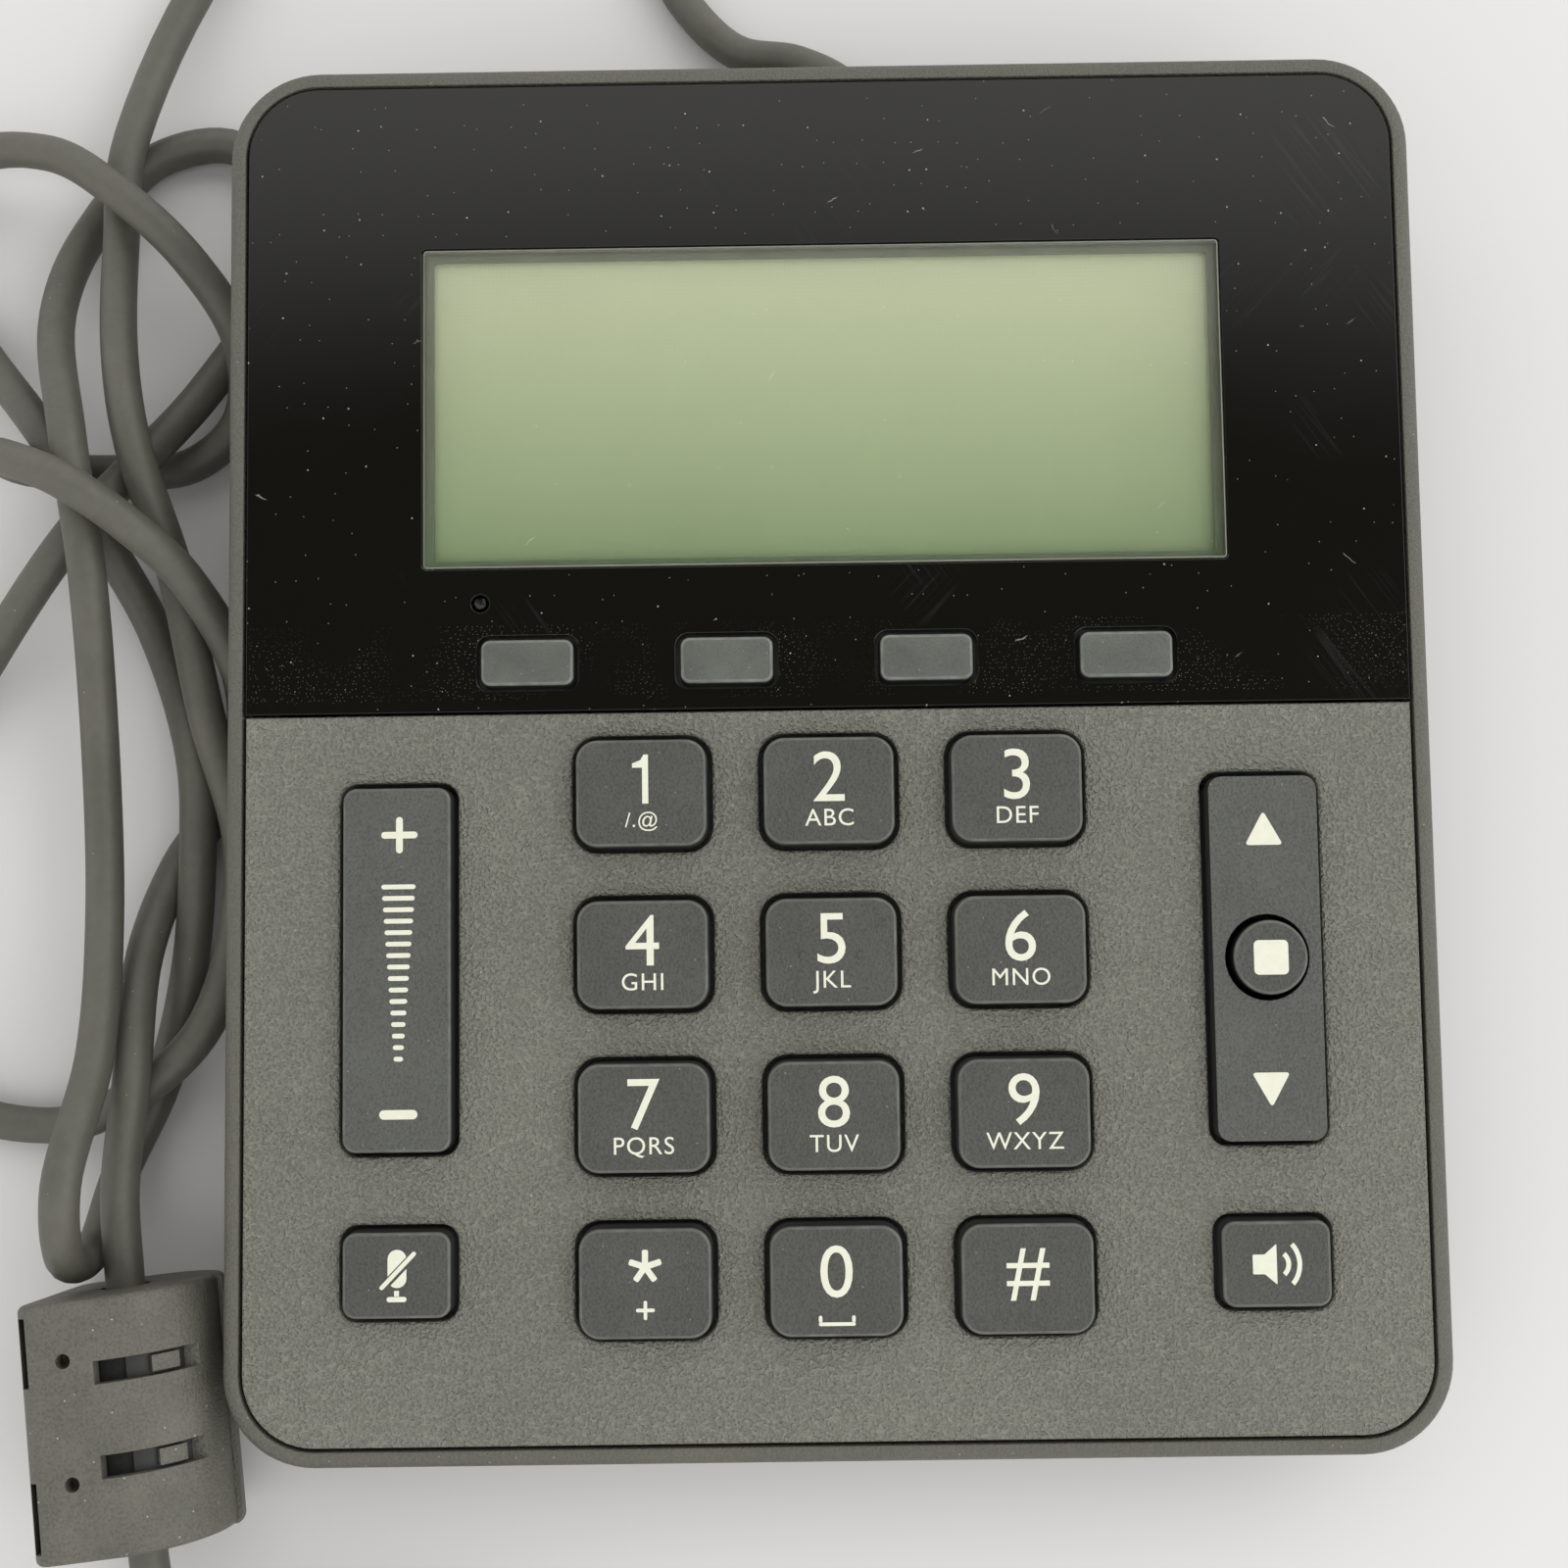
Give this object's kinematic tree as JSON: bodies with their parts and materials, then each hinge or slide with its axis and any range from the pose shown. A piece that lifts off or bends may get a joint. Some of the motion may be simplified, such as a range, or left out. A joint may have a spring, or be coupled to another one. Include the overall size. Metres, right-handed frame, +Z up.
{
  "type": "conference phone control unit",
  "caption": "Wedge-shaped desk control unit with a display, soft keys, number pad, two rockers, and a cord with a clip-on ferrite and a plug.",
  "frame": {"origin": "on the table, under the middle of the housing", "axes": "+Z up, +Y towards the rear edge where the cord leaves, +X to the right of a user facing the keys"},
  "size_m": [0.172, 0.2699, 0.0236],
  "materials": {
    "rim_plastic": "moulded, fine matt texture",
    "panel_plastic": "moulded, fine leather grain",
    "gloss_black": "polished",
    "clear_lens": "polished clear pane",
    "key_plastic": "fine matt texture, off-white printed legends",
    "softkey_plastic": "satin",
    "lcd_glass": "unlit grey-green display",
    "white_plastic": "moulded",
    "foot_rubber": "matt",
    "black_rubber": "matt",
    "grey_silicone": "matt",
    "board_laminate": "solder mask",
    "zinc_steel": "zinc plated",
    "plug_steel": "nickel plated",
    "polyimide_film": "flexible film",
    "cord_pvc": "soft matt sheath",
    "plug_plastic": "moulded",
    "tie_strap": "woven hook-and-loop strap",
    "ferrite_case_plastic": "moulded, spark-eroded texture",
    "ferrite": "sintered"
  },
  "bodies": {
    "root": {"top_case": "rim_plastic", "bottom_case": "rim_plastic", "keypad_panel": "panel_plastic", "display_panel": "gloss_black", "display_lens": "clear_lens", "status_lens": "clear_lens", "lcd_panel": "lcd_glass", "lcd_frame": "zinc_steel", "backlight": "white_plastic", "lcd_flex": "polyimide_film", "main_board": "board_laminate", "keypad_mat": "grey_silicone", "dome_sheet": "polyimide_film", "shield_can": "zinc_steel", "cable_header": "white_plastic", "status_led": "white_plastic", "strain_relief": "black_rubber", "cable_clamp": "white_plastic", "clamp_screw": "zinc_steel", "inner_lead": "cord_pvc", "cord_run": "cord_pvc", "cord_coil": "cord_pvc", "cord_end": "cord_pvc", "coil_tie": "tie_strap", "plug_grip": "plug_plastic", "plug_shell": "plug_steel", "ferrite_case_lower": "ferrite_case_plastic", "ferrite_core_lower": "ferrite", "foot_1": "foot_rubber", "case_screw_1": "zinc_steel", "foot_2": "foot_rubber", "case_screw_2": "zinc_steel", "foot_3": "foot_rubber", "case_screw_3": "zinc_steel", "foot_4": "foot_rubber", "case_screw_4": "zinc_steel"},
    "key_1": {"key_1": "key_plastic"},
    "key_2": {"key_2": "key_plastic"},
    "key_3": {"key_3": "key_plastic"},
    "key_4": {"key_4": "key_plastic"},
    "key_5": {"key_5": "key_plastic"},
    "key_6": {"key_6": "key_plastic"},
    "key_7": {"key_7": "key_plastic"},
    "key_8": {"key_8": "key_plastic"},
    "key_9": {"key_9": "key_plastic"},
    "key_star": {"key_star": "key_plastic"},
    "key_0": {"key_0": "key_plastic"},
    "key_pound": {"key_pound": "key_plastic"},
    "softkey_1": {"softkey_1": "softkey_plastic"},
    "softkey_2": {"softkey_2": "softkey_plastic"},
    "softkey_3": {"softkey_3": "softkey_plastic"},
    "softkey_4": {"softkey_4": "softkey_plastic"},
    "mute_button": {"mute_button": "key_plastic"},
    "speaker_button": {"speaker_button": "key_plastic"},
    "select_button": {"select_button": "key_plastic"},
    "volume_rocker": {"volume_rocker": "key_plastic"},
    "nav_rocker": {"nav_rocker": "key_plastic"},
    "ferrite_lid": {"ferrite_case_upper": "ferrite_case_plastic", "ferrite_core_upper": "ferrite"}
  },
  "joints": [
    {"name": "key_1_press", "type": "slide", "parent": "root", "child": "key_1", "axis": [0, 0.0523, -0.9986], "range_m": [0, 0.001], "stiffness_N_per_m": 600},
    {"name": "key_2_press", "type": "slide", "parent": "root", "child": "key_2", "axis": [0, 0.0523, -0.9986], "range_m": [0, 0.001], "stiffness_N_per_m": 600},
    {"name": "key_3_press", "type": "slide", "parent": "root", "child": "key_3", "axis": [0, 0.0523, -0.9986], "range_m": [0, 0.001], "stiffness_N_per_m": 600},
    {"name": "key_4_press", "type": "slide", "parent": "root", "child": "key_4", "axis": [0, 0.0523, -0.9986], "range_m": [0, 0.001], "stiffness_N_per_m": 600},
    {"name": "key_5_press", "type": "slide", "parent": "root", "child": "key_5", "axis": [0, 0.0523, -0.9986], "range_m": [0, 0.001], "stiffness_N_per_m": 600},
    {"name": "key_6_press", "type": "slide", "parent": "root", "child": "key_6", "axis": [0, 0.0523, -0.9986], "range_m": [0, 0.001], "stiffness_N_per_m": 600},
    {"name": "key_7_press", "type": "slide", "parent": "root", "child": "key_7", "axis": [0, 0.0523, -0.9986], "range_m": [0, 0.001], "stiffness_N_per_m": 600},
    {"name": "key_8_press", "type": "slide", "parent": "root", "child": "key_8", "axis": [0, 0.0523, -0.9986], "range_m": [0, 0.001], "stiffness_N_per_m": 600},
    {"name": "key_9_press", "type": "slide", "parent": "root", "child": "key_9", "axis": [0, 0.0523, -0.9986], "range_m": [0, 0.001], "stiffness_N_per_m": 600},
    {"name": "key_star_press", "type": "slide", "parent": "root", "child": "key_star", "axis": [0, 0.0523, -0.9986], "range_m": [0, 0.001], "stiffness_N_per_m": 600},
    {"name": "key_0_press", "type": "slide", "parent": "root", "child": "key_0", "axis": [0, 0.0523, -0.9986], "range_m": [0, 0.001], "stiffness_N_per_m": 600},
    {"name": "key_pound_press", "type": "slide", "parent": "root", "child": "key_pound", "axis": [0, 0.0523, -0.9986], "range_m": [0, 0.001], "stiffness_N_per_m": 600},
    {"name": "softkey_1_press", "type": "slide", "parent": "root", "child": "softkey_1", "axis": [0, 0.0523, -0.9986], "range_m": [0, 0.0006], "stiffness_N_per_m": 600},
    {"name": "softkey_2_press", "type": "slide", "parent": "root", "child": "softkey_2", "axis": [0, 0.0523, -0.9986], "range_m": [0, 0.0006], "stiffness_N_per_m": 600},
    {"name": "softkey_3_press", "type": "slide", "parent": "root", "child": "softkey_3", "axis": [0, 0.0523, -0.9986], "range_m": [0, 0.0006], "stiffness_N_per_m": 600},
    {"name": "softkey_4_press", "type": "slide", "parent": "root", "child": "softkey_4", "axis": [0, 0.0523, -0.9986], "range_m": [0, 0.0006], "stiffness_N_per_m": 600},
    {"name": "mute_button_press", "type": "slide", "parent": "root", "child": "mute_button", "axis": [0, 0.0523, -0.9986], "range_m": [0, 0.0008], "stiffness_N_per_m": 600},
    {"name": "speaker_button_press", "type": "slide", "parent": "root", "child": "speaker_button", "axis": [0, 0.0523, -0.9986], "range_m": [0, 0.0008], "stiffness_N_per_m": 600},
    {"name": "select_button_press", "type": "slide", "parent": "root", "child": "select_button", "axis": [0, 0.0523, -0.9986], "range_m": [0, 0.0008], "stiffness_N_per_m": 600},
    {"name": "volume_rocker_tilt", "type": "hinge", "parent": "root", "child": "volume_rocker", "pos_m": [-0.0444, -0.02224, 0.01433], "axis": [1, 0, 0], "range_deg": [-2.5, 2.5], "stiffness_Nm_per_rad": 0.25},
    {"name": "nav_rocker_tilt", "type": "hinge", "parent": "root", "child": "nav_rocker", "pos_m": [0.0444, -0.02224, 0.01433], "axis": [1, 0, 0], "range_deg": [-2.5, 2.5], "stiffness_Nm_per_rad": 0.25},
    {"name": "ferrite_lid_hinge", "type": "hinge", "parent": "root", "child": "ferrite_lid", "pos_m": [-0.08174, -0.06857, 0.0097], "axis": [0.1132, -0.9936, 0], "range_deg": [0, 110]}
  ]
}
